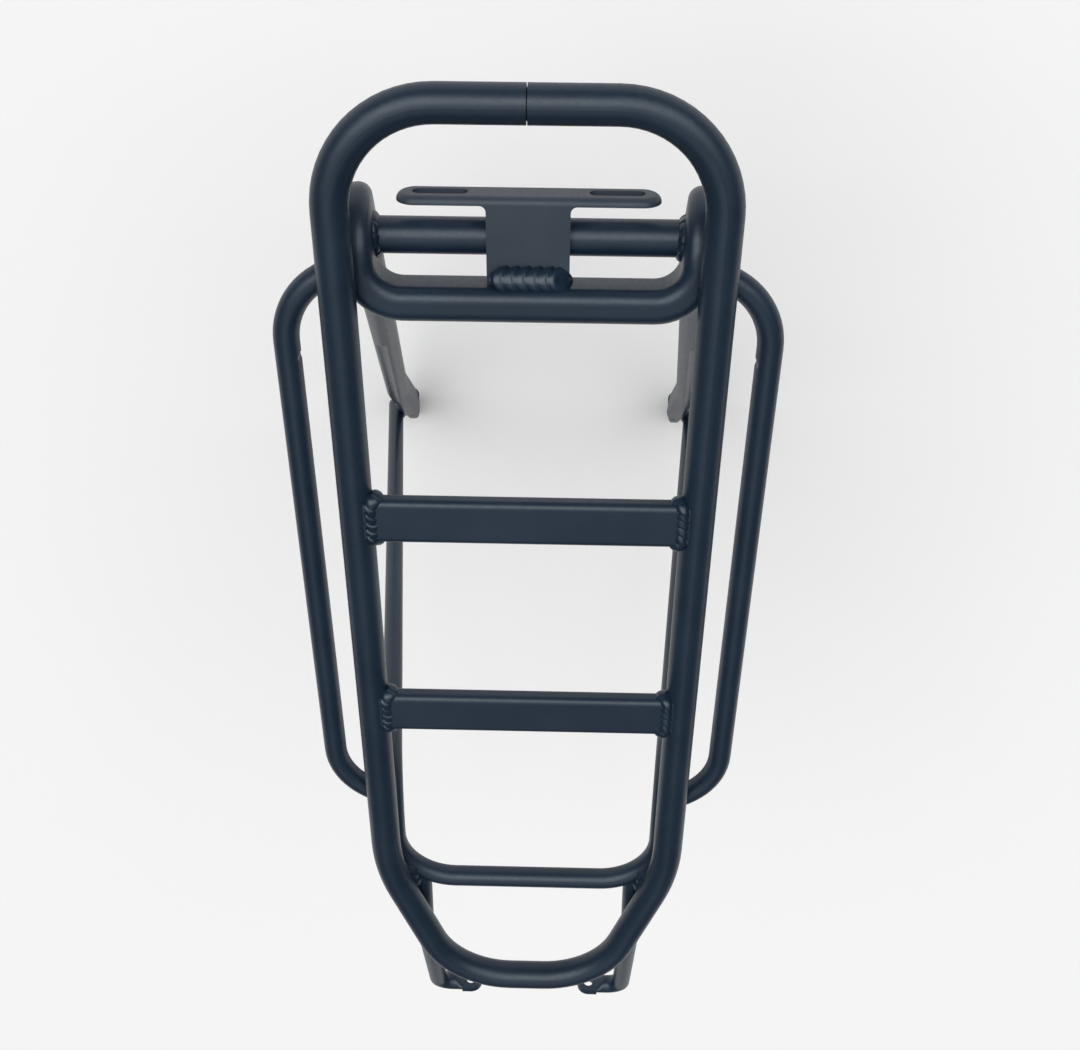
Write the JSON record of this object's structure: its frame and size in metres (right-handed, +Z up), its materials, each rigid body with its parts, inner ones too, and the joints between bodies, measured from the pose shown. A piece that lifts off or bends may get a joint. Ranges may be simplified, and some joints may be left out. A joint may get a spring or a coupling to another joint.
{
  "type": "bicycle rear carrier rack",
  "caption": "Welded tube carrier for the back of a bicycle: a flat looped deck, raked legs with bored feet, side rails for bags, front arms and a slotted light bracket.",
  "frame": {"origin": "centre of the bounding box's footprint, at the level of the lowest point of the feet", "axes": "+Z up, +Y towards the bicycle's front, +X to the right as seen from behind the bicycle"},
  "size_m": [0.2216, 0.5568, 0.4048],
  "materials": {
    "frame_coat": "satin-matte black powder coat on aluminium tube",
    "weld_coat": "the same powder coat over rippled weld metal",
    "bracket_coat": "the same powder coat on flat plate",
    "sleeve_coat": "darkened aluminium, seen only through the hairline of the loop's seam"
  },
  "bodies": {
    "root": {"deck_loop_tube": "frame_coat", "loop_joint_sleeve": "sleeve_coat", "deck_bar_rear": "frame_coat", "deck_bar_front": "frame_coat", "rear_stay_tube": "frame_coat", "rear_cross_tube": "frame_coat", "tail_light_bracket": "bracket_coat", "front_stay_tube": "frame_coat", "pannier_rail_right": "frame_coat", "pannier_rail_left": "frame_coat", "front_arm_right": "frame_coat", "front_arm_left": "frame_coat", "foot_plate_right": "frame_coat", "foot_plate_left": "frame_coat", "deck_bar_rear_welds": "weld_coat", "deck_bar_front_welds": "weld_coat", "rear_stay_welds": "weld_coat", "rear_cross_tube_welds": "weld_coat", "bracket_weld": "weld_coat", "front_stay_welds": "weld_coat", "pannier_rail_welds": "weld_coat", "front_arm_welds": "weld_coat", "foot_plate_welds": "weld_coat", "strut_foot_welds": "weld_coat"}
  },
  "joints": []
}
